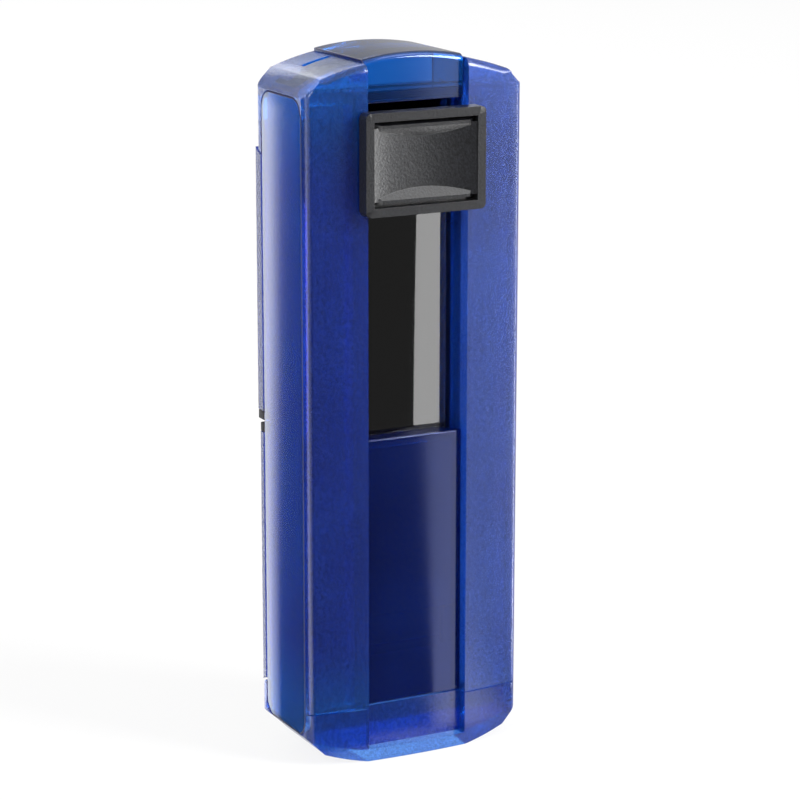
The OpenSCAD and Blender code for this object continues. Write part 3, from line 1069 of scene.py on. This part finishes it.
@dataclass
class Studio:
    """White floor and backdrop, soft lamps and the camera."""

    yaw_deg: float = 26.9
    pitch_deg: float = 13.9
    distance_mm: float = 367.9
    lens_mm: float = 130.3
    sensor_mm: float = 36.0
    aim: Point = (0.0, 0.95 * MM, 45 * MM)
    centre_px: tuple[float, float] = (390.9, 400.2)
    frame_px: float = 800
    floor_mm: float = 6000
    ambient: float = 0.5
    # viewpoint in plan that the floor cards are laid out for
    eye_mm: tuple[float, float] = (-161.6, -317.7)
    # faces that they are laid out for: the window's plane and the left flank
    window_y_mm: float = -2.9
    flank_x_mm: float = -15.0
    # where the bright band begins on the front, how wide it is and how sharp its edge
    split_mm: float = 2.0
    band_mm: float = 7.0
    sharp_mm: float = 0.05
    # where the flank's pale band fades, and over what half width
    fade_mm: float = 4.4
    soft_mm: float = 2.0
    soft_share: float = 0.4
    # brightness of the cards; the white floor is 1
    flag_glow: float = 0.1
    card_glow: float = 2.3
    far_glow: float = 0.5
    scoop_glow: float = 12.0
    crown_glow: float = 4.5
    edge_glow: float = 3.0
    side_glow: float = 4.0
    back_glow: float = 0.5
    # shares of the way to the viewpoint's mirror image that the floor cards cover
    front_first: float = 0.025
    side_first: float = 0.01
    reach: float = 3.0
    lift_mm: float = 0.5
    lamps: tuple[Lamp, ...] = (
        Lamp("key", (600, -700, 450), 50, (350, 500), 15),
        Lamp("crown", (350, -190, 740), 90, (260, 260), 0.2),
        Lamp("fill", (-700, -400, 500), 50, (300, 500), 4),
        Lamp("rim", (0, 900, 500), 50, (800, 400), 3),
    )

    def look(self) -> Vector:
        """Work out the direction from the viewpoint to the stamp.

        Returns:
            The direction, of length 1.
        """
        yaw = math.radians(self.yaw_deg)
        pitch = math.radians(self.pitch_deg)
        return Vector((math.sin(yaw) * math.cos(pitch), math.cos(yaw) * math.cos(pitch), -math.sin(pitch)))

    def add_camera(self) -> None:
        """Create the camera and make it the scene's own."""
        look = self.look()
        data = bpy.data.cameras.new("camera")
        data.lens = self.lens_mm
        data.sensor_width = self.sensor_mm
        data.clip_start = 0.01
        data.shift_x = (self.frame_px / 2 - self.centre_px[0]) / self.frame_px
        data.shift_y = (self.centre_px[1] - self.frame_px / 2) / self.frame_px
        data.dof.use_dof = False
        camera = bpy.data.objects.new("camera", data)
        camera.location = Vector(self.aim) - look * self.distance_mm * MM
        camera.rotation_euler = look.to_track_quat("-Z", "Y").to_euler()
        bpy.context.scene.collection.objects.link(camera)
        bpy.context.scene.camera = camera

    def white_to_eye(self, tree: bpy.types.NodeTree) -> bpy.types.NodeSocket:
        """Output that is 1 on rays that see the surroundings as white.

        Args:
            tree: Node tree that takes the nodes.

        Returns:
            The grey output: 1 for camera, glossy and transmission rays.
        """
        path = add_node(tree, "ShaderNodeLightPath")
        first = add_node(
            tree,
            "ShaderNodeMath",
            links={0: path.outputs["Is Camera Ray"], 1: path.outputs["Is Glossy Ray"]},
            operation="MAXIMUM",
        )
        return add_node(
            tree,
            "ShaderNodeMath",
            links={0: first.outputs[0], 1: path.outputs["Is Transmission Ray"]},
            operation="MAXIMUM",
        ).outputs[0]

    def add_world(self) -> None:
        """Surround the object with white, dimmer for the light that falls on it."""
        world = bpy.data.worlds.new("studio")
        world.use_nodes = True
        tree = world.node_tree
        tree.nodes.clear()
        seen = self.white_to_eye(tree)
        strength = add_node(
            tree,
            "ShaderNodeMapRange",
            {"To Min": self.ambient, "To Max": 1.0},
            {"Value": seen},
        )
        background = add_node(
            tree,
            "ShaderNodeBackground",
            {"Color": (1, 1, 1, 1)},
            {"Strength": strength.outputs["Result"]},
        )
        add_node(tree, "ShaderNodeOutputWorld", links={"Surface": background.outputs[0]})
        bpy.context.scene.world = world

    def add_floor(self) -> None:
        """Lay a white floor that keeps a faint shadow."""
        build = bmesh.new()
        bmesh.ops.create_grid(build, x_segments=8, y_segments=8, size=self.floor_mm * MM / 2)
        material = bpy.data.materials.new("paper_floor")
        material.use_nodes = True
        tree = material.node_tree
        tree.nodes.clear()
        place = add_node(tree, "ShaderNodeTexCoord")
        fibre = add_node(
            tree, "ShaderNodeTexNoise", {"Scale": per_metre(2.0)}, {"Vector": place.outputs["Object"]}
        )
        matt = add_node(tree, "ShaderNodeBsdfDiffuse", {"Color": linear("#f6f6f6")})
        rough = add_node(
            tree, "ShaderNodeBump", {"Distance": 0.02 * MM, "Strength": 0.2}, {"Height": fibre.outputs["Fac"]}
        )
        tree.links.new(rough.outputs["Normal"], matt.inputs["Normal"])
        white = add_node(tree, "ShaderNodeEmission", {"Color": (1, 1, 1, 1), "Strength": 1.0})
        seen = self.white_to_eye(tree)
        share = add_node(tree, "ShaderNodeMath", {1: 0.85}, {0: seen}, operation="MULTIPLY")
        mix = add_node(
            tree,
            "ShaderNodeMixShader",
            links={0: share.outputs[0], 1: matt.outputs[0], 2: white.outputs[0]},
        )
        add_node(tree, "ShaderNodeOutputMaterial", links={"Surface": mix.outputs[0]})
        floor = mesh_object("floor", build, material)

    def add_card(self, name: str, columns: list[Column]) -> None:
        """Set up a reflector or black flag that only gloss and clear plastic show.

        Args:
            name: Name of the card.
            columns: Its columns in mm from one edge to the other; a brightness of 0 is black.
        """
        build = bmesh.new()
        glow_layer = build.verts.layers.float.new("glow")
        rows = []
        for near, far, glow in columns:
            pair = [build.verts.new(Vector(corner) * MM) for corner in (near, far)]
            for vert in pair:
                vert[glow_layer] = glow
            rows.append(pair)
        for one, two in zip(rows, rows[1:]):
            build.faces.new((one[0], one[1], two[1], two[0]))
        material = bpy.data.materials.new(f"{name}_paint")
        material.use_nodes = True
        tree = material.node_tree
        tree.nodes.clear()
        layer = add_node(tree, "ShaderNodeAttribute", attribute_name="glow")
        glow = add_node(tree, "ShaderNodeEmission", links={"Strength": layer.outputs["Fac"]})
        add_node(tree, "ShaderNodeOutputMaterial", links={"Surface": glow.outputs[0]})
        card = mesh_object(name, build, material)
        for sight in ("camera", "diffuse", "shadow", "volume_scatter"):
            setattr(card, f"visible_{sight}", False)

    def floor_column(
        self, start: tuple[float, float], step: tuple[float, float], first: float, glow: float
    ) -> Column:
        """Column of a floor card that leads away from the stamp.

        Args:
            start: Place in plan on the face that shows it.
            step: Its direction in plan, as long as the viewpoint is far.
            first: Share of the step at which it begins.
            glow: Its brightness.

        Returns:
            Both ends and the brightness.
        """
        near, far = (
            (start[0] + step[0] * share, start[1] + step[1] * share, self.lift_mm)
            for share in (first, self.reach)
        )
        return near, far, glow

    def front_column(self, x_mm: float, glow: float) -> Column:
        """Column of a floor card that the flat window shows upright.

        Args:
            x_mm: Where the window shows it.
            glow: Its brightness.

        Returns:
            Both ends and the brightness.
        """
        step = (x_mm - self.eye_mm[0], self.eye_mm[1] - self.window_y_mm)
        return self.floor_column((x_mm, self.window_y_mm), step, self.front_first, glow)

    def side_column(self, y_mm: float, glow: float) -> Column:
        """Column of a floor card that the left flank shows upright.

        Args:
            y_mm: Where the flank shows it.
            glow: Its brightness.

        Returns:
            Both ends and the brightness.
        """
        step = (self.eye_mm[0] - self.flank_x_mm, y_mm - self.eye_mm[1])
        return self.floor_column((self.flank_x_mm, y_mm), step, self.side_first, glow)

    def fan_column(self, start: tuple[float, float], end: tuple[float, float], glow: float) -> Column:
        """Column of a floor card between two places in plan."""
        return (*start, self.lift_mm), (*end, self.lift_mm), glow

    def wall_column(self, x_mm: float, y_mm: float, low_mm: float, high_mm: float, glow: float) -> Column:
        """Upright column of a standing card."""
        return (x_mm, y_mm, low_mm), (x_mm, y_mm, high_mm), glow

    def add_cards(self) -> None:
        """Stand and lay the reflectors and flags round the stamp."""
        dark, split, fade = self.flag_glow, self.split_mm, self.fade_mm
        self.add_card(
            "cards_front",
            [
                self.fan_column((-15, -10), (-380, -954), dark),
                self.front_column(split - self.sharp_mm, dark),
                self.front_column(split + self.sharp_mm, self.card_glow),
                self.front_column(split + self.band_mm, self.card_glow),
                self.front_column(split + 2 * self.band_mm, self.far_glow),
                self.fan_column((30, -12), (1000, -660), self.far_glow),
                self.fan_column((32, -12), (1000, -610), self.scoop_glow),
                self.fan_column((60, -10), (1000, -300), self.scoop_glow),
            ],
        )
        self.add_card("flag_screen", [self.wall_column(x, -957, 0, 700, dark) for x in (-400, 495)])
        self.add_card(
            "cards_left",
            [
                self.fan_column((-30, -30), (-900, -700), self.edge_glow),
                self.fan_column((-30, -10), (-900, -200), self.edge_glow),
                self.fan_column((-30, -8), (-900, -150), dark),
                self.fan_column((-40, 4), (-900, 500), dark),
                self.side_column(fade - self.soft_mm, dark),
                self.side_column(fade, self.side_glow * self.soft_share),
                self.side_column(fade + self.soft_mm, self.side_glow),
                self.fan_column((-16, 60), (-100, 900), self.side_glow),
            ],
        )
        self.add_card(
            "card_crown", [((x, -60, 640), (x, -300, 580), self.crown_glow) for x in (180, 440)]
        )
        self.add_card(
            "flag_back",
            [
                self.wall_column(x, y, 20, 900, self.back_glow)
                for x, y in ((-800, 700), (100, 950), (1000, 700))
            ],
        )

    def build(self) -> None:
        """Set up the studio."""
        self.add_camera()
        self.add_world()
        self.add_floor()
        self.add_cards()
        for lamp in self.lamps:
            lamp.hang()
        bpy.context.scene.view_settings.view_transform = "Standard"
        LOG.info("studio set up")


def main() -> None:
    """Build the stamp, then the studio round it."""
    logging.basicConfig(level=logging.INFO, format="%(name)s: %(message)s")
    paint = Palette()
    Studio().build()
    Case().build(paint)
    steel = paint.spring.build()
    HingeSprings("upper_wing_springs", 1).build("upper_hinge_pin", steel)
    HingeSprings("lower_wing_springs", -1).build("lower_hinge_pin", steel)
    Slider().build(paint)
    Wings().build(paint)
    Carrier().build(paint)
    Stamp().build(paint)


if __name__ == "__main__":
    main()
